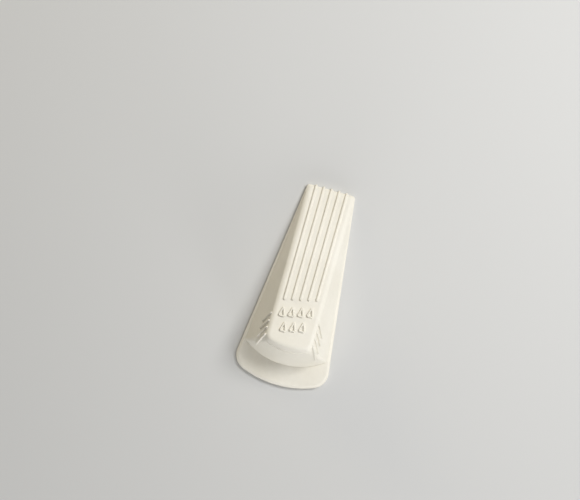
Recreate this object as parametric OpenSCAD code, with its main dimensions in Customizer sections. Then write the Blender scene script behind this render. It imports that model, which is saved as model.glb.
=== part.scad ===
// Door wedge: a tapered rubber block on a thin, wide foot plate.
// Frame: +Y points to the thin tip, +X to the right seen from above with the
// tip ahead, +Z up. The origin is on the floor, under the middle of the footprint.
// All sizes are millimetres.

/* [Overall] */
// Length from the heel of the foot plate to the ribs that wrap over the tip
overall_l = 122.3; // [114:0.05:130]
// Width of the foot plate at its widest, near the heel
overall_w = 56.95; // [54:0.05:62]
// Height of the top of the heel above the floor
overall_h = 31.75; // [28:0.05:36]

/* [Foot plate] */
// Height of the foot plate's top face above the floor
foot_h = 3.2; // [2.6:0.1:4]
// Depth of the tread in the underside
tread_h = 1.2; // [0.6:0.1:1.6]
// Radius of the round heel end of the foot plate
foot_heel_r = 60; // [54:1:68]
// Radius of the two corners beside the heel end
foot_corner_r = 10; // [7:0.5:11]
// How much each side closes in per millimetre towards the tip
foot_taper = 0.1278; // [0.11:0.0001:0.14]
// Radius of the two corners at the tip
tip_corner_r = 1.8; // [1:0.1:3]
// How far the ribs stand out past the tip edge of the foot plate
tip_gap = 0.9; // [0.5:0.05:1.2]

/* [Block] */
// Width of the ramp between its two virtual side edges
ramp_w = 28; // [26:0.1:28.4]
// How much each side of the block closes in per millimetre towards the tip, at the foot
base_taper = 0.1175; // [0.112:0.0001:0.122]
// Share of the side's width that is in its steep upper face
side_split = 0.613; // [0.56:0.001:0.66]
// Height of the crease between the steep and the flared side face, as a share of the block's height
side_split_h = 0.324; // [0.28:0.002:0.42]
// Width of the bevel along each side edge of the ramp
edge_bevel = 1.9; // [0.8:0.1:2.2]
// Where the upright axis of the round heel face stands, along Y
heel_axis_y = -6.05; // [-8:0.05:-4]
// Radius of the heel face where it meets the foot plate
heel_r_low = 42.35; // [41:0.05:43.5]
// Radius of the heel where its top edge would be if it were sharp
heel_r_top = 31; // [30:0.1:31.8]
// Height above the floor at which the heel face turns into the flatter band below its top edge
band_z = 28.05; // [27:0.05:29]
// Radius of the heel face at the foot of that band
band_r = 33.6; // [33:0.1:34.5]
// Radius of the rounded top edge of the heel
heel_edge_r = 1.2; // [0.8:0.1:1.6]

/* [Ribs] */
// Distance between neighbouring ribs
rib_pitch = 4.75; // [4.4:0.05:5]
// Width of a rib at its root
rib_w = 1.6; // [1.2:0.1:2.2]
// Height of a rib above the ramp
rib_h = 1.1; // [0.6:0.05:1.3]
// Where the middle rib ends at the heel side, along Y
rib_end_y = -8.75; // [-12:0.05:-5]
// How much further each rib ends than its left neighbour
rib_step = 1.05; // [0:0.05:1.6]

/* [Grips and mark] */
// Width of a finger grip ridge
grip_w = 1.1; // [0.8:0.1:1.6]
// Height of a finger grip ridge above the side face
grip_h = 1.1; // [0.4:0.05:1.3]
// Width of the outline of a raised triangle
mark_stroke = 1.1; // [0.8:0.05:1.4]
// Height of the raised mark above the ramp
mark_h = 1.1; // [0.4:0.05:1.3]
// Distance between neighbouring triangles
mark_pitch = 5.5; // [5:0.1:5.6]
// Length of one triangle
mark_l = 8.2; // [6:0.1:8.6]
// Slant of the rows of triangles, in degrees
mark_slant = 13.5; // [0:0.5:16]

/* [Tread] */
// Width of a tread groove
groove_w = 1.6; // [1:0.1:2.4]
// Distance between neighbouring tread grooves
groove_pitch = 5.4; // [4.4:0.1:7]
// Width of the plain border round the tread
groove_border = 4; // [3:0.5:6]

/* [Hidden] */
rubber = [0.87, 0.85, 0.78];
far = 300;

// ---- footprint -------------------------------------------------------------
heel_y = -overall_l / 2;
tip_y = overall_l / 2 - tip_gap;
foot_arc_y = heel_y + foot_heel_r;
corner_x = overall_w / 2 - foot_corner_r;
corner_y = foot_arc_y - sqrt(pow(foot_heel_r - foot_corner_r, 2) - pow(corner_x, 2));
side_b = corner_x + foot_taper * corner_y + foot_corner_r * sqrt(1 + pow(foot_taper, 2));
function foot_half_w(y) = side_b - foot_taper * y;
side_a = atan(foot_taper);
heel_a = atan2(corner_y - foot_arc_y, corner_x);
tip_x = foot_half_w(tip_y - tip_corner_r) - tip_corner_r * sqrt(1 + pow(foot_taper, 2));

function arc(cx, cy, r, a0, a1, n) =
    [for (i = [0:n]) let (a = a0 + (a1 - a0) * i / n) [cx + r * cos(a), cy + r * sin(a)]];
function flip(pts) = [for (i = [len(pts) - 1:-1:0]) [-pts[i][0], pts[i][1]]];
right_half = concat(
    arc(tip_x, tip_y - tip_corner_r, tip_corner_r, 90, side_a, 6),
    arc(corner_x, corner_y, foot_corner_r, side_a, heel_a, 14),
    arc(0, foot_arc_y, foot_heel_r, heel_a - 2, -89, 14));
outline = concat(right_half, flip(right_half));

// ---- block -----------------------------------------------------------------
ramp_hw = ramp_w / 2;
// The ramp starts at the top face of the foot plate, just behind its tip edge.
nose_y = tip_y - 0.2;
heel_slope = (heel_r_low - band_r) / (band_z - foot_h);
band_slope = (band_r - heel_r_top) / (overall_h - band_z);
band_draft = atan(band_slope);
edge_cr = heel_r_top + heel_edge_r * band_slope - heel_edge_r / cos(band_draft);
edge_cz = overall_h - heel_edge_r;
edge_cy = heel_axis_y - edge_cr;
// The ramp leaves the rounded heel edge as its tangent.
ramp_dy = nose_y - edge_cy;
ramp_dz = edge_cz - foot_h;
ramp_a = atan(ramp_dz / ramp_dy) + asin(heel_edge_r / norm([ramp_dy, ramp_dz]));
ramp_m = tan(ramp_a);
function ramp_z(y) = foot_h + ramp_m * (nose_y - y);

// Both side faces and the ramp's edge meet at one point beside the tip.
nose_pt = [ramp_hw, nose_y, foot_h];
side_run = 80;
top_dir = [0, -side_run, ramp_m * side_run];
base_dir = [base_taper * side_run, -side_run, 0];
crease_dir = [base_taper * side_split * side_run, -side_run, ramp_m * side_run * side_split_h];
function unit(v) = v / norm(v);
upper_n = unit(cross(top_dir, crease_dir));
lower_n = unit(cross(crease_dir, base_dir));
ramp_n = [0, sin(ramp_a), cos(ramp_a)];
upper_pt_z = function(x, y) foot_h - (upper_n[0] * (x - ramp_hw) + upper_n[1] * (y - nose_y)) / upper_n[2];

// Axes of a frame that stands on point p with its Z along n and its X along u.
module on_face(p, u, n) {
    v = cross(n, u);
    multmatrix([[u[0], v[0], n[0], p[0]],
                [u[1], v[1], n[1], p[1]],
                [u[2], v[2], n[2], p[2]],
                [0, 0, 0, 1]]) children();
}
// Everything on the outer side of the plane through p with normal n.
module beyond(p, n) {
    u = unit(cross(abs(n[0]) > 0.9 ? [0, 0, 1] : [1, 0, 0], n));
    on_face(p, u, n) translate([-far, -far, 0]) cube([2 * far, 2 * far, far]);
}

// Profile of the heel face: radius from its axis against height.
heel_profile = concat(
    [[0, foot_h], [heel_r_low, foot_h], [band_r, band_z]],
    [for (i = [0:4]) let (a = band_draft + (90 - band_draft) * i / 4)
        [edge_cr + heel_edge_r * cos(a), edge_cz + heel_edge_r * sin(a)]],
    [[0, overall_h]]);

module side_cut() {
    intersection() {
        beyond(nose_pt, upper_n);
        beyond(nose_pt, lower_n);
    }
    // bevel along the ramp's edge
    bevel_n = unit(upper_n + ramp_n);
    beyond(nose_pt - bevel_n * edge_bevel * 0.42, bevel_n);
    // bevel at the corner between side and heel, deeper towards the top
    beyond([14.4, -35.4, 27.55], unit([0.767, -0.478, 0.428]));
}

module wedge_body() {
    color(rubber)
    difference() {
        translate([-overall_w / 2, heel_y, foot_h]) cube([overall_w, nose_y - heel_y, overall_h - foot_h]);
        // round heel face
        difference() {
            translate([-far / 2, heel_axis_y - far, 0]) cube([far, far, far]);
            translate([0, heel_axis_y, 0]) rotate_extrude($fn = 180) polygon(heel_profile);
        }
        beyond([0, nose_y, foot_h], ramp_n);
        side_cut();
        mirror([1, 0, 0]) side_cut();
    }
}

module foot_flange() {
    color(rubber)
    translate([0, 0, tread_h]) linear_extrude(foot_h - tread_h) polygon(outline);
}

// ---- ribs ------------------------------------------------------------------
// Path of a rib's root in the YZ plane, from the heel end over the nose and
// down to the tread: [y, z, normal y, normal z, size].
function rib_path(y0) = concat(
    [for (t = [[0, 0.12], [0.35, 0.55], [0.9, 0.86], [1.7, 1]])
        [y0 + t[0], ramp_z(y0 + t[0]), ramp_n[1], ramp_n[2], t[1]]],
    [[nose_y, foot_h, ramp_n[1], ramp_n[2], 1]],
    [[tip_y, foot_h - 0.06, 0.74, 0.67, 0.95]],
    [[tip_y, foot_h - 0.5, 0.97, 0.24, tip_gap / rib_h]],
    [[tip_y, tread_h + 0.3, 1, 0, tip_gap / rib_h]],
    [[tip_y, tread_h, 1, 0, 0.35]]);
rib_n = 10;
module rib(x0, y0) {
    path = rib_path(y0);
    section = [for (i = [0:rib_n]) let (a = 180 * i / rib_n) [rib_w / 2 * cos(a), rib_h * sin(a)]];
    m = len(section);
    k = len(path);
    pts = [for (p = path) for (s = section)
        [x0 + s[0] * min(1, 0.4 + 0.6 * p[4]), p[0] + s[1] * p[4] * p[2], p[1] + s[1] * p[4] * p[3]]];
    sides = [for (i = [0:k - 2]) for (j = [0:m - 1]) each
        [[i * m + j, i * m + (j + 1) % m, (i + 1) * m + j],
         [i * m + (j + 1) % m, (i + 1) * m + (j + 1) % m, (i + 1) * m + j]]];
    caps = [[for (j = [m - 1:-1:0]) j], [for (j = [0:m - 1]) (k - 1) * m + j]];
    polyhedron(pts, concat(sides, caps));
}
module ramp_ribs() {
    color(rubber)
    for (i = [-2:2]) rib(i * rib_pitch, rib_end_y + i * rib_step);
}

// ---- finger grips ----------------------------------------------------------
// Upper and lower end of each ridge, as seen from above.
grip_ends = [[[15.5, -20.4], [18.4, -26.6]], [[15.6, -25.2], [18.5, -31.2]],
             [[15.6, -29.4], [18.0, -34.2]], [[15.4, -31.8], [15.9, -33.2]]];
module grip(a, b) {
    pa = [a[0], a[1], upper_pt_z(a[0], a[1])];
    pb = [b[0], b[1], upper_pt_z(b[0], b[1])];
    l = norm(pb - pa);
    on_face(pa, unit(pb - pa), upper_n) linear_extrude(grip_h) union() {
        circle(d = grip_w, $fn = 32);
        translate([0, -grip_w / 2]) square([l, grip_w]);
        translate([l, 0]) circle(d = grip_w, $fn = 32);
    }
}
module grips() {
    for (g = grip_ends) grip(g[0], g[1]);
}
module finger_grips_right() {
    color(rubber) grips();
}
module finger_grips_left() {
    color(rubber) mirror([1, 0, 0]) grips();
}

// ---- raised mark -----------------------------------------------------------
// Two slanted rows of plain open triangles that point to the tip.
module triangle(w, l, t) {
    // centre and radius of the circle inside the triangle
    r = w * l / (w + 2 * sqrt(l * l + w * w / 4));
    k = 1 - t / r;
    difference() {
        linear_extrude(mark_h) polygon([[-w / 2, -l / 2], [w / 2, -l / 2], [0, l / 2]]);
        translate([0, 0, -1]) linear_extrude(mark_h + 2)
            polygon([[-w / 2 * k, -l / 2 + t], [w / 2 * k, -l / 2 + t], [0, -l / 2 + t + l * k]]);
    }
}
module raised_mark() {
    color(rubber)
    on_face([0, 0, ramp_z(0)], [1, 0, 0], ramp_n)
    for (row = [[-1.5, 4, -0.3, -15.6], [-1, 3, 0.1, -25.2]])
        for (i = [0:row[1] - 1])
            let (x = row[2] + (row[0] + i) * mark_pitch)
                translate([x, row[3] + x * tan(mark_slant), 0]) triangle(4.8, mark_l, mark_stroke);
}

// ---- heel bead -------------------------------------------------------------
module heel_bead() {
    // its upper side is the foot of the band
    z0 = band_z - 0.8;
    r0 = band_r + 0.8 * heel_slope;
    color(rubber)
    translate([0, heel_axis_y, 0]) rotate([0, 0, -90 - 21]) rotate_extrude(angle = 42, $fn = 180)
        polygon([[r0, z0], [r0 + 0.42, z0 + 0.12], [r0 + 0.25, z0 + 0.68],
                 [band_r, band_z]]);
}

// ---- sole ------------------------------------------------------------------
module sole_tread() {
    color(rubber)
    difference() {
        linear_extrude(tread_h) polygon(outline);
        for (i = [-10:9]) {
            y = -3.2 + i * groove_pitch;
            hw = foot_half_w(y) - groove_border;
            if (y > heel_y + groove_border + 2 && y < tip_y - groove_border)
                translate([-hw, y - groove_w / 2, -1]) cube([2 * hw, groove_w, tread_h + 2]);
        }
    }
}

wedge_body();
foot_flange();
ramp_ribs();
finger_grips_left();
finger_grips_right();
raised_mark();
heel_bead();
sole_tread();
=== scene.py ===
import math

import bpy
import numpy as np
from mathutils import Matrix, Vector, geometry


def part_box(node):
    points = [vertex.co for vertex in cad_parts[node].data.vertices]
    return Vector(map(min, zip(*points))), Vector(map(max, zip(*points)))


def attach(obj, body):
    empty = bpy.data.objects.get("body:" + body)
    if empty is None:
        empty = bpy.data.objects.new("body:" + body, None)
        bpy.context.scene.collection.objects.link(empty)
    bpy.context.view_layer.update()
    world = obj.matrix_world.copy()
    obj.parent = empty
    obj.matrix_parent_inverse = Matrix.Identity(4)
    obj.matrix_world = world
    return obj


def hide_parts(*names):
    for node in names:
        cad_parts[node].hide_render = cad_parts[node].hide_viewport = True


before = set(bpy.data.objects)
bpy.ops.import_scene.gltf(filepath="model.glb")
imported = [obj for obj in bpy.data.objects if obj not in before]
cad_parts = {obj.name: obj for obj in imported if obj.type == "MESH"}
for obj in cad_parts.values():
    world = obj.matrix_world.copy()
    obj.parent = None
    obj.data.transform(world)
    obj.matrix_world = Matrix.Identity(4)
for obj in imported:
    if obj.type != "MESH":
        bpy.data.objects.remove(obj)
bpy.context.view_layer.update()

# ---------------------------------------------------------------------------
# Sizes, in millimetres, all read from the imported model.
# ---------------------------------------------------------------------------
MM = 0.001
lo_b, hi_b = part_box("wedge_body")
lo_f, hi_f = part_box("foot_flange")
lo_t, hi_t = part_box("sole_tread")
lo_r, hi_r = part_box("ramp_ribs")
W = (hi_f.x - lo_f.x) * 1000.0          # foot plate width
HEEL_Y = lo_f.y * 1000.0                # heel end of the foot plate
TIP_Y = hi_f.y * 1000.0                 # tip edge of the foot plate
END_Y = hi_r.y * 1000.0                 # ribs' outer end over the tip
TOP_Z = hi_b.z * 1000.0
FOOT_Z = hi_f.z * 1000.0
TREAD_Z = hi_t.z * 1000.0
NOSE_Y = hi_b.y * 1000.0
W = min(W, 56.94)

TAPER = 0.1278                          # of the foot plate's sides
BASE_TAPER = 0.1175                     # of the block's sides at the foot
RAMP_HW = 14.0
FOOT_R, FOOT_CR = 60.0, 10.0
HEEL_AXIS_Y = -6.05
HEEL_R_LOW = 42.35
HEEL_R_TOP = 31.0
BAND_Z, BAND_R = 28.05, 33.6            # where the heel face turns into the flatter band
EDGE_R = 1.2
SLOPE = (HEEL_R_LOW - BAND_R) / (BAND_Z - FOOT_Z)
DRAFT = math.atan(SLOPE)
BAND_SLOPE = (BAND_R - HEEL_R_TOP) / (TOP_Z - BAND_Z)
BAND_DRAFT = math.atan(BAND_SLOPE)
EDGE_CR = HEEL_R_TOP + EDGE_R * BAND_SLOPE - EDGE_R / math.cos(BAND_DRAFT)
EDGE_CZ = TOP_Z - EDGE_R
EDGE_CY = HEEL_AXIS_Y - EDGE_CR


def ramp_angle():
    lo, hi = math.radians(8), math.radians(30)
    for _ in range(60):
        a = (lo + hi) / 2
        y = EDGE_CY + (EDGE_R + (EDGE_CZ - FOOT_Z) * math.cos(a)) / math.sin(a)
        if y > NOSE_Y:
            lo = a
        else:
            hi = a
    return a


RAMP_A = ramp_angle()
RS, RC = math.sin(RAMP_A), math.cos(RAMP_A)


def ramp_z(y):
    return EDGE_CZ + (EDGE_R - RS * (y - EDGE_CY)) / RC


# side planes: all go through one point beside the tip
NOSE_P = np.array([RAMP_HW, NOSE_Y, FOOT_Z])
RAMP_M = RS / RC
TOP_D = np.array([0, -1, RAMP_M])
BASE_D = np.array([BASE_TAPER, -1, 0])
CREASE_D = np.array([BASE_TAPER * 0.613, -1, RAMP_M * 0.324])


def unit(v):
    v = np.asarray(v, float)
    return v / np.linalg.norm(v)


UPPER_N = unit(np.cross(TOP_D, CREASE_D))
LOWER_N = unit(np.cross(CREASE_D, BASE_D))


# ---------------------------------------------------------------------------
# Smooth distance field of the block
# ---------------------------------------------------------------------------
def round_max(a, b, r):
    """Intersection of two solids with an edge rounding of size r."""
    return np.minimum(-r, np.maximum(a, b)) + np.sqrt(
        np.maximum(a + r, 0) ** 2 + np.maximum(b + r, 0) ** 2)


def round_min(a, b, r):
    """Union of two solids with a fillet of size r."""
    return np.maximum(r, np.minimum(a, b)) - np.sqrt(
        np.maximum(r - a, 0) ** 2 + np.maximum(r - b, 0) ** 2)


def soft_min(a, b, k):
    h = np.maximum(k - np.abs(a - b), 0) / k
    return np.minimum(a, b) - h * h * k * 0.25


def block(x, y, z):
    """Distance to the block above the foot plate, with no fillet at its foot."""
    ax = np.sqrt(x * x + 1e-6)
    ramp = RS * (y - EDGE_CY) + RC * (z - EDGE_CZ) - EDGE_R
    up = UPPER_N[0] * (ax - NOSE_P[0]) + UPPER_N[1] * (y - NOSE_P[1]) + UPPER_N[2] * (z - NOSE_P[2])
    low = LOWER_N[0] * (ax - NOSE_P[0]) + LOWER_N[1] * (y - NOSE_P[1]) + LOWER_N[2] * (z - NOSE_P[2])
    side = soft_min(up, low, 0.9)
    yy = np.minimum(y - HEEL_AXIS_Y, 0)
    rad = np.sqrt(x * x + yy * yy)
    face = (rad - (BAND_R + (BAND_Z - z) * SLOPE)) * math.cos(DRAFT)
    band = (rad - (HEEL_R_TOP + (TOP_Z - z) * BAND_SLOPE)) * math.cos(BAND_DRAFT)
    heel = round_max(face, band, 0.25)
    heel = np.where(y > HEEL_AXIS_Y, -30.0, heel)
    # the upright corner is sharp at the foot and round at the top
    corner = round_max(side, heel, 0.9 + 2.3 * np.clip((z - 6) / 22, 0, 1))
    nose = y - (TIP_Y - 0.25)
    # the edge along the ramp is rounder towards the heel
    r = 2.1 - 0.3 * np.clip((y - 40) / 20, 0, 1)
    a = round_max(ramp, nose, 0.9)
    # side edges and heel edge each have their own rounding
    w = np.clip((heel - side + 4) / 8, 0, 1)
    w = w * w * (3 - 2 * w)
    rr = r + (EDGE_R - r) * w
    return round_max(a, corner, rr)


FOOT_FILLET = 0.7
SINK = 0.28


def body_field(x, y, z):
    d = round_min(block(x, y, z), z - (FOOT_Z - SINK), FOOT_FILLET)
    return np.maximum(d, (FOOT_Z - SINK + 0.15) - z)


def gradient(f, p, e=0.02):
    g = np.empty_like(p)
    for i in range(3):
        q = [p[:, 0], p[:, 1], p[:, 2]]
        a, b = list(q), list(q)
        a[i] = q[i] + e
        b[i] = q[i] - e
        g[:, i] = (f(*a) - f(*b)) / (2 * e)
    return g


def surface_nets(f, lo, hi, h):
    """Quad mesh of f = 0 on a grid of step h, with its points moved on to the true surface."""
    axes = [np.arange(l, u + h, h) for l, u in zip(lo, hi)]
    x, y, z = np.meshgrid(*axes, indexing="ij")
    v = f(x, y, z).astype(np.float32)
    s = v < 0
    n = v.shape
    acc = np.zeros((n[0] - 1, n[1] - 1, n[2] - 1, 3), np.float32)
    cnt = np.zeros((n[0] - 1, n[1] - 1, n[2] - 1), np.float32)
    base = np.indices((n[0], n[1], n[2]), dtype=np.float32)
    for axis in range(3):
        sl0 = [slice(None)] * 3
        sl1 = [slice(None)] * 3
        sl0[axis], sl1[axis] = slice(0, -1), slice(1, None)
        sl0, sl1 = tuple(sl0), tuple(sl1)
        cross = s[sl0] != s[sl1]
        den = v[sl0] - v[sl1]
        t = np.where(cross, v[sl0] / np.where(den == 0, 1, den), 0)
        other = [i for i in range(3) if i != axis]
        for da in (0, 1):
            for db in (0, 1):
                cut = [slice(None)] * 3
                cut[other[0]] = slice(da, n[other[0]] - 1 + da)
                cut[other[1]] = slice(db, n[other[1]] - 1 + db)
                cut = tuple(cut)
                m = cross[cut].astype(np.float32)
                cnt += m
                for k in range(3):
                    pos = base[k][sl0][cut]
                    if k == axis:
                        pos = pos + t[cut]
                    acc[..., k] += m * pos
    active = cnt > 0
    idx = np.full(active.shape, -1, np.int64)
    idx[active] = np.arange(int(active.sum()))
    pts = acc[active] / cnt[active][:, None]
    pts = pts * h + np.array([a[0] for a in axes])
    faces = []
    for axis in range(3):
        b, c = (axis + 1) % 3, (axis + 2) % 3
        sl0 = [slice(None)] * 3
        sl1 = [slice(None)] * 3
        sl0[axis], sl1[axis] = slice(0, -1), slice(1, None)
        s0, s1 = s[tuple(sl0)], s[tuple(sl1)]
        cross = s0 != s1
        lim = [slice(None)] * 3
        lim[b], lim[c] = slice(1, -1), slice(1, -1)
        inner = np.zeros_like(cross)
        inner[tuple(lim)] = cross[tuple(lim)]
        at = np.argwhere(inner)
        quad = []
        for ob, oc in ((-1, -1), (0, -1), (0, 0), (-1, 0)):
            q = at.copy()
            q[:, b] += ob
            q[:, c] += oc
            quad.append(idx[q[:, 0], q[:, 1], q[:, 2]])
        quad = np.stack(quad, 1)
        out = s0[at[:, 0], at[:, 1], at[:, 2]]
        quad[~out] = quad[~out][:, ::-1]
        faces.append(quad)
    faces = np.concatenate(faces)
    for _ in range(3):
        d = f(pts[:, 0], pts[:, 1], pts[:, 2])
        g = gradient(f, pts)
        g2 = np.maximum((g * g).sum(1), 0.2)
        pts = pts - (np.clip(d, -h, h) / g2)[:, None] * g
    return pts, faces


# ---------------------------------------------------------------------------
# Mesh helpers
# ---------------------------------------------------------------------------
def make(name, pts, faces, node, smooth=True):
    v = np.asarray(pts, float)
    # every face looks outward
    volume = 0.0
    for f in faces:
        for i in range(1, len(f) - 1):
            a, b, c = v[f[0]], v[f[i]], v[f[i + 1]]
            volume += (a[0] * (b[1] * c[2] - b[2] * c[1]) + a[1] * (b[2] * c[0] - b[0] * c[2])
                       + a[2] * (b[0] * c[1] - b[1] * c[0]))
    if volume < 0:
        faces = [list(f)[::-1] for f in faces]
    me = bpy.data.meshes.new(name)
    me.from_pydata((np.asarray(pts, float) * MM).tolist(), [], [list(map(int, f)) for f in faces])
    me.validate()
    me.update()
    if smooth:
        me.shade_smooth()
    o = bpy.data.objects.new(name, me)
    bpy.context.scene.collection.objects.link(o)
    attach(o, "root")
    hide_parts(node)
    return o


def ring_faces(n, a, b):
    """Quads between two closed rings of n points that start at a and b."""
    return [[a + i, a + (i + 1) % n, b + (i + 1) % n, b + i] for i in range(n)]


def outline(step=1.2):
    """Points and outward normals of the foot plate's outline, anticlockwise from the tip's middle."""
    cr, hr, tr = FOOT_CR, FOOT_R, 1.8
    arc_y = HEEL_Y + hr
    cx = W / 2 - cr
    cy = arc_y - math.sqrt((hr - cr) ** 2 - cx * cx)
    b = cx + TAPER * cy + cr * math.sqrt(1 + TAPER ** 2)
    a_side = math.atan(TAPER)
    a_heel = math.atan2(cy - arc_y, cx)
    tx = b - TAPER * (TIP_Y - tr) - tr * math.sqrt(1 + TAPER ** 2)
    pts, nrm = [], []

    def arc(px, py, r, a0, a1, s):
        n = max(2, int(abs(a1 - a0) * r / s) + 1)
        for i in range(n + 1):
            a = a0 + (a1 - a0) * i / n
            pts.append((px + r * math.cos(a), py + r * math.sin(a)))
            nrm.append((math.cos(a), math.sin(a)))

    n = int(tx / step)
    for i in range(1, n):
        pts.append((tx * i / n, TIP_Y))
        nrm.append((0, 1))
    arc(tx, TIP_Y - tr, tr, math.pi / 2, a_side, 0.28)
    p0, p1 = pts[-1], (cx + cr * math.cos(a_side), cy + cr * math.sin(a_side))
    n = int(math.dist(p0, p1) / (step * 1.4))
    for i in range(1, n):
        t = i / n
        pts.append((p0[0] + (p1[0] - p0[0]) * t, p0[1] + (p1[1] - p0[1]) * t))
        nrm.append((math.cos(a_side), math.sin(a_side)))
    arc(cx, cy, cr, a_side, a_heel, 0.55)
    arc(0, arc_y, hr, a_heel - 0.02, -math.pi / 2 + 0.012, step)
    pts.append((0, HEEL_Y)); nrm.append((0, -1))
    right_p, right_n = np.array(pts), np.array(nrm)
    left_p, left_n = right_p[-2::-1] * [-1, 1], right_n[-2::-1] * [-1, 1]
    p = np.concatenate([[[0, TIP_Y]], right_p, left_p])
    m = np.concatenate([[[0, 1]], right_n, left_n])
    # clockwise so far: turn it round
    return p[::-1].copy(), m[::-1].copy()


OUT_P, OUT_N = outline()
N_OUT = len(OUT_P)


def ring(inset, z, p=None, n=None):
    p = OUT_P if p is None else p
    n = OUT_N if n is None else n
    q = p - n * np.asarray(inset).reshape(-1, 1)
    return np.column_stack([q, np.broadcast_to(z, len(q))])


# ---------------------------------------------------------------------------
# Block
# ---------------------------------------------------------------------------
GRID = 0.42
pts, faces = surface_nets(body_field, (-29.2, -52.3, FOOT_Z - 0.7), (29.2, TIP_Y + 0.6, TOP_Z + 0.6), GRID)
body = make("wedge_body_rubber", pts, faces, "wedge_body")


def surface(x, y):
    """Height of the block's skin above plan points, and its outward normal."""
    x, y = np.asarray(x, float), np.asarray(y, float)
    lo, hi = np.full(x.shape, FOOT_Z - 1.0), np.full(x.shape, TOP_Z + 2.0)
    for _ in range(40):
        m = (lo + hi) / 2
        inside = block(x, y, m) < 0
        lo, hi = np.where(inside, m, lo), np.where(inside, hi, m)
    p = np.column_stack([x, y, (lo + hi) / 2])
    g = gradient(block, p, 0.03)
    return p, g / np.linalg.norm(g, axis=1)[:, None]


# ---------------------------------------------------------------------------
# Foot plate: wall, thin mould line, rounded top edge, flat top
# ---------------------------------------------------------------------------
def foot_flange():
    y = OUT_P[:, 1]
    heel = np.clip((-40 - y) / 14, 0, 1)
    heel = heel * heel * (3 - 2 * heel)
    tip = np.clip((y - 50) / 9, 0, 1)
    w = 1.25 + 0.25 * heel - 0.35 * tip
    back = 0.1
    rings = [ring(back + 2.5, TREAD_Z), ring(back, TREAD_Z)]
    rings += [ring(back, TREAD_Z + 0.16), ring(0.02, TREAD_Z + 0.24), ring(0.0, TREAD_Z + 0.3),
              ring(0.02, TREAD_Z + 0.36), ring(back, TREAD_Z + 0.44)]
    # rounded wall top, then a sloping rim with a soft inner edge
    for across, down in ((0.0, 1.1), (0.015, 0.97), (0.055, 0.83), (0.12, 0.71), (0.21, 0.6),
                         (0.32, 0.51), (0.46, 0.42), (0.66, 0.29), (0.84, 0.16), (0.93, 0.1),
                         (1.0, 0.055), (1.08, 0.02), (1.18, 0.003)):
        rings.append(ring(back + w * across, FOOT_Z - down))
    rings.append(ring(back + w * 1.3, FOOT_Z))
    pts = np.concatenate(rings)
    faces = []
    for i in range(len(rings) - 1):
        faces += ring_faces(N_OUT, i * N_OUT, (i + 1) * N_OUT)
    last = (len(rings) - 1) * N_OUT
    faces.append([last + i for i in range(N_OUT)])
    faces.append([i for i in range(N_OUT - 1, -1, -1)])
    return make("foot_flange_rubber", pts, faces, "foot_flange")


flange = foot_flange()


# ---------------------------------------------------------------------------
# Sole: plain border and transverse anti-slip grooves with rounded edges
# ---------------------------------------------------------------------------
def slot_loop(y, hw, gw):
    """Outline of a round-ended groove, clockwise, with its inward-facing normals."""
    r = gw / 2
    p, n = [], []
    k = 6
    for i in range(k + 1):
        a = math.pi / 2 - math.pi * i / k
        p.append((hw - r + r * math.cos(a), y + r * math.sin(a))); n.append((math.cos(a), math.sin(a)))
    m = max(2, int(hw / 3))
    for i in range(1, m):
        p.append((hw - r - 2 * (hw - r) * i / m, y - r)); n.append((0, -1))
    for i in range(k + 1):
        a = -math.pi / 2 - math.pi * i / k
        p.append((-hw + r + r * math.cos(a), y + r * math.sin(a))); n.append((math.cos(a), math.sin(a)))
    for i in range(1, m):
        p.append((-hw + r + 2 * (hw - r) * i / m, y + r)); n.append((0, 1))
    return np.array(p), np.array(n)


def fill_between(outer, holes):
    """Triangles of the area inside outer and outside every hole, in plan."""
    loops = [outer] + holes
    co, edges = [], []
    for l in loops:
        s = len(co)
        co += [Vector((float(a), float(b))) for a, b in l]
        edges += [(s + i, s + (i + 1) % len(l)) for i in range(len(l))]
    vs, _, fs, vo, _, _ = geometry.delaunay_2d_cdt(co, edges, [], 0, 1e-7)
    back = [o[0] if o else None for o in vo]
    if any(b is None for b in back):
        raise RuntimeError("the sole's outline crosses itself")
    c = np.array([[co[back[i]] for i in f] for f in fs])[:, :, :2].mean(1)

    def inside(loop, q):
        x, y = q[:, 0], q[:, 1]
        r = np.zeros(len(q), bool)
        j = len(loop) - 1
        for i in range(len(loop)):
            xi, yi = loop[i]
            xj, yj = loop[j]
            if yi != yj:
                hit = ((yi > y) != (yj > y)) & (x < (xj - xi) * (y - yi) / (yj - yi) + xi)
                r ^= hit
            j = i
        return r

    keep = inside(outer, c)
    for hloop in holes:
        keep &= ~inside(hloop, c)
    out = []
    for f, k in zip(fs, keep):
        if k:
            q = [back[i] for i in f]
            a, b, d = (co[i] for i in q)
            if (b - a).cross(d - a) < 0:
                q.reverse()
            out.append(q)
    return out


def half_w(y):
    cx = W / 2 - FOOT_CR
    cy = HEEL_Y + FOOT_R - math.sqrt((FOOT_R - FOOT_CR) ** 2 - cx * cx)
    b = cx + TAPER * cy + FOOT_CR * math.sqrt(1 + TAPER ** 2)
    return b - TAPER * y


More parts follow.
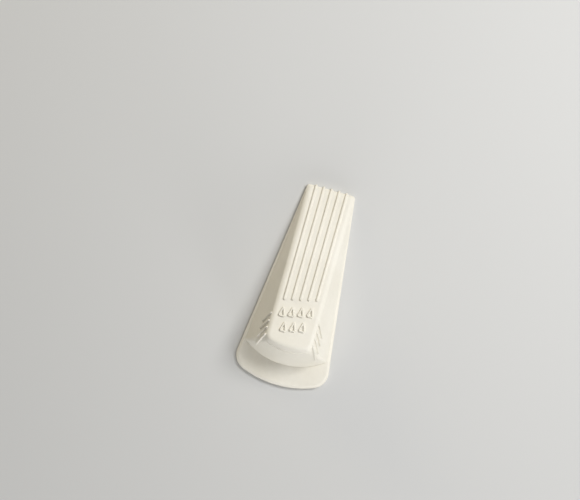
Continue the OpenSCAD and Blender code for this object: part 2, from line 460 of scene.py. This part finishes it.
def sole_tread():
    slots = []
    for i in range(-10, 10):
        y = -3.2 + i * 5.4
        if y > HEEL_Y + 6 and y < TIP_Y - 4:
            slots.append(slot_loop(y, half_w(y) - 4, 1.6))
    back, rb, rg = 0.1, 0.45, 0.28
    loops = []  # each: list of rings from the floor up to the top of the tread
    k = 4
    o = [ring(back + rb * (1 - math.sin(math.pi / 2 * i / k)), rb * (1 - math.cos(math.pi / 2 * i / k)))
         for i in range(k + 1)] + [ring(back, TREAD_Z)]
    loops.append(o)
    for p, n in slots:
        g = [ring(-rg * (1 - math.sin(math.pi / 2 * i / k)), rg * (1 - math.cos(math.pi / 2 * i / k)), p, n)
             for i in range(k + 1)] + [ring(0, TREAD_Z, p, n)]
        loops.append(g)
    pts, faces, first, last = [], [], [], []
    count = 0
    for li, rings in enumerate(loops):
        m = len(rings[0])
        first.append(count)
        for r, q in enumerate(rings):
            pts.append(q)
            if r:
                faces += ring_faces(m, count + (r - 1) * m, count + r * m)
        last.append(count + (len(rings) - 1) * m)
        count += len(rings) * m
    pts = np.concatenate(pts)
    for starts, level, up in ((first, 0, False), (last, -1, True)):
        index = []
        for li, rings in enumerate(loops):
            index += [starts[li] + i for i in range(len(rings[0]))]
        tri = fill_between(loops[0][level][:, :2], [l[level][:, :2] for l in loops[1:]])
        for t in tri:
            q = [index[i] for i in t]
            (ax, ay), (bx, by), (cx, cy) = pts[q][:, :2]
            if abs((bx - ax) * (cy - ay) - (cx - ax) * (by - ay)) < 1e-6:
                continue
            faces.append(q if up else q[::-1])
    return make("sole_tread_rubber", pts, faces, "sole_tread")


tread = sole_tread()


# ---------------------------------------------------------------------------
# Raised strokes: ribs, grips, mark and bead are one section swept on the skin
# ---------------------------------------------------------------------------
def bead_section(w, h, foot=0.32, top=15, full=0.85):
    """Half-round bead with a small concave fillet each side: (across, up) points, left to right."""
    s = [(-w / 2 - foot, -0.32), (-w / 2 - foot, -0.05)]
    for t in (0.35, 0.7):
        s.append((-w / 2 - foot + foot * t, -0.05 + (0.05 + h * 0.22) * t * t))
    for i in range(top):
        a = math.pi - math.pi * i / (top - 1)
        c, q = math.cos(a), math.sin(a)
        s.append((w / 2 * math.copysign(abs(c) ** full, c), h * 0.22 + h * 0.78 * q ** (full - 0.05)))
    left = s[:4]
    s += [(-a, b) for a, b in reversed(left)]
    return np.array(s)


def sweep(path, normal, w, h, scale, foot=0.32, full=0.85):
    """Points and faces of a bead along path, whose up is normal. scale runs 0..1 at the ends."""
    path, normal = np.asarray(path, float), np.asarray(normal, float)
    t = np.gradient(path, axis=0)
    t /= np.linalg.norm(t, axis=1)[:, None]
    normal = normal - (normal * t).sum(1)[:, None] * t
    normal /= np.linalg.norm(normal, axis=1)[:, None]
    side = np.cross(t, normal)
    sec = bead_section(w, h, foot, 15, full)
    m = len(sec)
    pts = []
    for i in range(len(path)):
        k = scale[i]
        across = sec[:, 0] * (0.25 + 0.75 * k)
        up = np.where(sec[:, 1] > 0, sec[:, 1] * k, sec[:, 1])
        pts.append(path[i] + across[:, None] * side[i] + up[:, None] * normal[i])
    pts = np.concatenate(pts)
    faces = []
    for i in range(len(path) - 1):
        a, b = i * m, (i + 1) * m
        faces += [[a + (j + 1) % m, a + j, b + j, b + (j + 1) % m] for j in range(m)]
    faces.append([j for j in range(m)])
    faces.append([(len(path) - 1) * m + j for j in range(m - 1, -1, -1)])
    return pts, faces


def ends(n_steps, dist, total, run):
    """Round-nosed scale along a stroke: dist from its start, run is the length of each end."""
    a = np.clip(dist / run, 0, 1)
    b = np.clip((total - dist) / run, 0, 1)
    k = np.minimum(a, b)
    return np.sqrt(np.clip(1 - (1 - k) ** 2, 0, 1))


def spaced(points, step, run):
    """Points every step along a polyline, closer in its last run mm at both ends; with their distances."""
    points = np.asarray(points, float)
    seg = np.linalg.norm(np.diff(points, axis=0), axis=1)
    cum = np.concatenate([[0], np.cumsum(seg)])
    total = cum[-1]
    near = run * (1 - np.cos(np.linspace(0, math.pi / 2, 9)))
    mid = np.linspace(run, total - run, max(3, int((total - 2 * run) / step) + 2))
    d = np.unique(np.concatenate([near, mid, total - near]))
    out = np.column_stack([np.interp(d, cum, points[:, k]) for k in range(points.shape[1])])
    return out, d, total


def join(parts):
    pts, faces, c = [], [], 0
    for p, f in parts:
        pts.append(p)
        faces += [[i + c for i in q] for q in f]
        c += len(p)
    return np.concatenate(pts), faces


def ramp_ribs():
    parts = []
    over = END_Y - TIP_Y
    for i in range(-2, 3):
        x0 = 4.75 * i
        y0 = -8.75 + 1.05 * i
        # along the ramp, round the nose, down the tip edge
        line = [(y0, ramp_z(y0))]
        line.append((NOSE_Y - 1.6, ramp_z(NOSE_Y - 1.6)))
        cz = FOOT_Z - 0.62
        for a in np.linspace(RAMP_A, math.pi / 2, 8):
            # a is the angle of the normal from vertical
            line.append((TIP_Y - 0.1 - 0.9 + 0.9 * math.sin(a), cz - 0.35 + 0.9 * math.cos(a)))
        line.append((TIP_Y - 0.1, 0.35))
        pl, d, total = spaced(line, 0.9, 1.1)
        # extra points where it bends over the nose
        extra = np.linspace(total - 5.0, total - 0.2, 26)
        seg = np.concatenate([[0], np.cumsum(np.linalg.norm(np.diff(np.array(line), axis=0), axis=1))])
        d = np.unique(np.concatenate([d, extra]))
        pl = np.column_stack([np.interp(d, seg, np.array(line)[:, k]) for k in range(2)])
        t = np.gradient(pl, d, axis=0)
        for _ in range(2):
            t[1:-1] = (t[:-2] + t[1:-1] * 2 + t[2:]) / 4
        t /= np.linalg.norm(t, axis=1)[:, None]
        n = np.column_stack([-t[:, 1], t[:, 0]])
        path = np.column_stack([np.full(len(pl), x0), pl])
        normal = np.column_stack([np.zeros(len(pl)), n])
        h = 1.1
        k = ends(0, d, total, 1.1)
        k = k * np.where(pl[:, 1] < FOOT_Z, min(1.0, (over + 0.08) / h), 1.0)
        parts.append(sweep(path, normal, 1.5, h, k, 0.16, 0.72))
    pts, faces = join(parts)
    pts[:, 1] = np.minimum(pts[:, 1], END_Y)
    return make("ramp_ribs_rubber", pts, faces, "ramp_ribs")


ribs = ramp_ribs()

GRIPS = [((14.3, -19.6), (18.2, -26.8)), ((14.4, -24.4), (18.3, -31.3)),
         ((14.5, -28.6), (18.6, -36.0)), ((14.2, -32.8), (18.4, -40.4))]


def grips(sign, name, node):
    parts = []
    for a, b in GRIPS:
        q, d, _ = spaced([a, b], 0.3, 0.5)
        p, n = surface(q[:, 0] * sign, q[:, 1])
        seg = np.concatenate([[0], np.cumsum(np.linalg.norm(np.diff(p, axis=0), axis=1))])
        k = ends(0, seg, seg[-1], 0.9)
        parts.append(sweep(p, n, 1.05, 1.1, k, 0.14, 0.66))
    return make(name, *join(parts), node)


grips_r = grips(1, "finger_grips_right_rubber", "finger_grips_right")
grips_l = grips(-1, "finger_grips_left_rubber", "finger_grips_left")


def raised_mark():
    """Two slanted rows of plain open triangles that point to the tip."""
    parts = []
    slant = math.tan(math.radians(13.5))
    stroke, length, width = 1.1, 8.2, 4.8
    rad = width * length / (width + 2 * math.hypot(length, width / 2))
    k0 = 1 - 0.5 * stroke / rad                   # centre line of the outline
    low, w, top = -length / 2 + stroke / 2, width / 2 * k0, -length / 2 + stroke / 2 + length * k0
    for cells, v0, du in ((np.arange(-1.5, 2), -15.6, -0.3), (np.arange(-1, 2), -25.2, 0.1)):
        for c in cells:
            cx = du + c * 5.5
            cv = v0 + cx * slant
            for line in ([(-w, low), (w, low)], [(w, low), (0, top)], [(0, top), (-w, low)]):
                q, d, _ = spaced(line, 0.22, 0.35)
                p, n = surface(cx + q[:, 0], (cv + q[:, 1]) * RC)
                seg = np.concatenate([[0], np.cumsum(np.linalg.norm(np.diff(p, axis=0), axis=1))])
                k = ends(0, seg, seg[-1], 0.35)
                parts.append(sweep(p, n, stroke - 0.08, 1.1, k, 0.12, 0.66))
    return make("raised_mark_rubber", *join(parts), "raised_mark")


mark = raised_mark()


def heel_bead():
    z = BAND_Z - 0.45
    r = BAND_R + (BAND_Z - z) * SLOPE
    a = np.radians(np.linspace(-22, 22, 90))
    x = r * np.sin(a)
    y = HEEL_AXIS_Y - r * np.cos(a)
    p = np.column_stack([x, y, np.full(len(a), z)])
    n = np.column_stack([np.sin(a) * math.cos(DRAFT), -np.cos(a) * math.cos(DRAFT),
                         np.full(len(a), math.sin(DRAFT))])
    # keep it on the rounded corners' skin too
    for _ in range(6):
        d = block(p[:, 0], p[:, 1], p[:, 2])
        g = gradient(block, p)
        p = p - (d / (g * g).sum(1))[:, None] * g
    n = gradient(block, p)
    seg = np.concatenate([[0], np.cumsum(np.linalg.norm(np.diff(p, axis=0), axis=1))])
    k = ends(0, seg, seg[-1], 2.0)
    return make("heel_bead_rubber", *sweep(p, n, 0.5, 0.42, k, 0.14), "heel_bead")


bead = heel_bead()

# ---------------------------------------------------------------------------
# Material: matte cream vulcanised rubber
# ---------------------------------------------------------------------------
def rubber(name):
    m = bpy.data.materials.new(name)
    m.use_nodes = True
    nt = m.node_tree
    nt.nodes.clear()
    N, L = nt.nodes.new, nt.links.new
    out = N("ShaderNodeOutputMaterial")
    bsdf = N("ShaderNodeBsdfPrincipled")
    L(bsdf.outputs[0], out.inputs[0])
    tc = N("ShaderNodeTexCoord")

    def noise(scale, detail, rough, distort=0.0):
        n = N("ShaderNodeTexNoise")
        n.inputs["Scale"].default_value = scale
        n.inputs["Detail"].default_value = detail
        n.inputs["Roughness"].default_value = rough
        n.inputs["Distortion"].default_value = distort
        L(tc.outputs["Object"], n.inputs["Vector"])
        return n

    def ramp(src, stops):
        r = N("ShaderNodeValToRGB")
        e = r.color_ramp.elements
        while len(e) > len(stops):
            e.remove(e[-1])
        while len(e) < len(stops):
            e.new(1)
        for el, (pos, col) in zip(e, stops):
            el.position = pos
            el.color = (*col, 1)
        L(src, r.inputs[0])
        return r

    def mix(kind, fac, a, b):
        x = N("ShaderNodeMix")
        x.data_type = "RGBA"
        x.blend_type = kind
        for sock, val in ((x.inputs["Factor"], fac), (x.inputs["A"], a), (x.inputs["B"], b)):
            if hasattr(val, "node"):
                L(val, sock)
            elif isinstance(val, (int, float)):
                sock.default_value = val
            else:
                sock.default_value = (*val, 1)
        return x.outputs["Result"]

    # broad flow mottling, fine clouding, pale bloom specks
    broad = noise(38, 3, 0.55, 0.4)
    fine = noise(420, 4, 0.6)
    speck = noise(2300, 2, 0.5)
    base = ramp(broad.outputs[0], [(0.3, (0.775, 0.742, 0.652)), (0.7, (0.815, 0.785, 0.703))])
    cloud = ramp(fine.outputs[0], [(0.25, (0.955, 0.95, 0.94)), (0.75, (1.0, 1.0, 1.0))])
    col = mix("MULTIPLY", 0.75, base.outputs[0], cloud.outputs[0])
    dark = ramp(speck.outputs[0], [(0.24, (0.9, 0.88, 0.84)), (0.34, (1, 1, 1))])
    col = mix("MULTIPLY", 0.5, col, dark.outputs[0])
    L(col, bsdf.inputs["Base Color"])
    rough = N("ShaderNodeMapRange")
    L(fine.outputs[0], rough.inputs["Value"])
    rough.inputs["From Min"].default_value = 0.3
    rough.inputs["From Max"].default_value = 0.7
    rough.inputs["To Min"].default_value = 0.52
    rough.inputs["To Max"].default_value = 0.66
    L(rough.outputs[0], bsdf.inputs["Roughness"])
    bsdf.inputs["IOR"].default_value = 1.5
    bsdf.inputs["Specular IOR Level"].default_value = 0.45
    # moulded skin: fine grain over soft waviness
    b1 = N("ShaderNodeBump")
    b1.inputs["Strength"].default_value = 0.35
    b1.inputs["Distance"].default_value = 0.00035
    L(noise(150, 3, 0.5).outputs[0], b1.inputs["Height"])
    b2 = N("ShaderNodeBump")
    b2.inputs["Strength"].default_value = 0.3
    b2.inputs["Distance"].default_value = 0.00006
    L(noise(3200, 3, 0.6).outputs[0], b2.inputs["Height"])
    L(b1.outputs[0], b2.inputs["Normal"])
    L(b2.outputs[0], bsdf.inputs["Normal"])
    return m


mat = rubber("moulded_rubber")
for o in (body, flange, tread, ribs, grips_r, grips_l, mark, bead):
    o.data.materials.clear()
    o.data.materials.append(mat)

# ---------------------------------------------------------------------------
# Floor, light and camera
# ---------------------------------------------------------------------------
def floor():
    me = bpy.data.meshes.new("floor")
    s = 3.0
    me.from_pydata([(-s, -s, 0), (s, -s, 0), (s, s, 0), (-s, s, 0)], [], [(0, 1, 2, 3)])
    o = bpy.data.objects.new("floor", me)
    bpy.context.scene.collection.objects.link(o)
    m = bpy.data.materials.new("floor_pale")
    m.use_nodes = True
    b = m.node_tree.nodes["Principled BSDF"]
    b.inputs["Base Color"].default_value = (0.6, 0.6, 0.59, 1)
    b.inputs["Roughness"].default_value = 0.85
    b.inputs["Specular IOR Level"].default_value = 0.2
    me.materials.append(m)
    return o


floor()

scene = bpy.context.scene
world = bpy.data.worlds.new("studio")
world.use_nodes = True
world.node_tree.nodes["Background"].inputs[0].default_value = (1.0, 0.995, 0.985, 1)
world.node_tree.nodes["Background"].inputs[1].default_value = 0.2
scene.world = world


def soft_light(name, azimuth, elevation, energy, colour=(1.0, 1.0, 1.0), size=0.4):
    """Round soft box one metre from the object; azimuth is anticlockwise from +X."""
    a, e = math.radians(azimuth), math.radians(elevation)
    loc = Vector((math.cos(e) * math.cos(a), math.cos(e) * math.sin(a), math.sin(e)))
    l = bpy.data.lights.new(name, "AREA")
    l.shape = "DISK"
    l.size = size
    l.energy = energy
    l.color = colour
    o = bpy.data.objects.new(name, l)
    o.location = loc
    o.rotation_euler = (Vector((0, 0, 0.01)) - loc).to_track_quat("-Z", "Y").to_euler()
    o.visible_camera = False
    scene.collection.objects.link(o)
    return o


soft_light("key", 45, 50, 7.1)
soft_light("top", 0, 75, 1.0)
soft_light("tip", 90, 50, 0.9)
soft_light("left", 145, 12, 2.1, (1.0, 0.86, 0.56))
soft_light("heel_front", 270, 12, 2.9)
soft_light("heel_right", 315, 12, 2.8)

# straight above, turned so that the tip leans to the right; 0.6 mm to a pixel at the floor
TURN = math.radians(15.85)
off = (290.0 - 304.2) * 0.0006, (286.8 - 250.0) * 0.0006
CAM = (off[0] * math.cos(TURN) - off[1] * math.sin(TURN), off[0] * math.sin(TURN) + off[1] * math.cos(TURN), 5.0)
cam = bpy.data.cameras.new("camera")
cam.sensor_width = 36.0
cam.lens = 36.0 / 0.348 * 5.0
cam.clip_start = 0.01
cam.clip_end = 20
co = bpy.data.objects.new("camera", cam)
co.location = CAM
co.rotation_euler = (0, 0, TURN)
scene.collection.objects.link(co)
scene.camera = co
scene.view_settings.view_transform = "Standard"
scene.view_settings.look = "None"
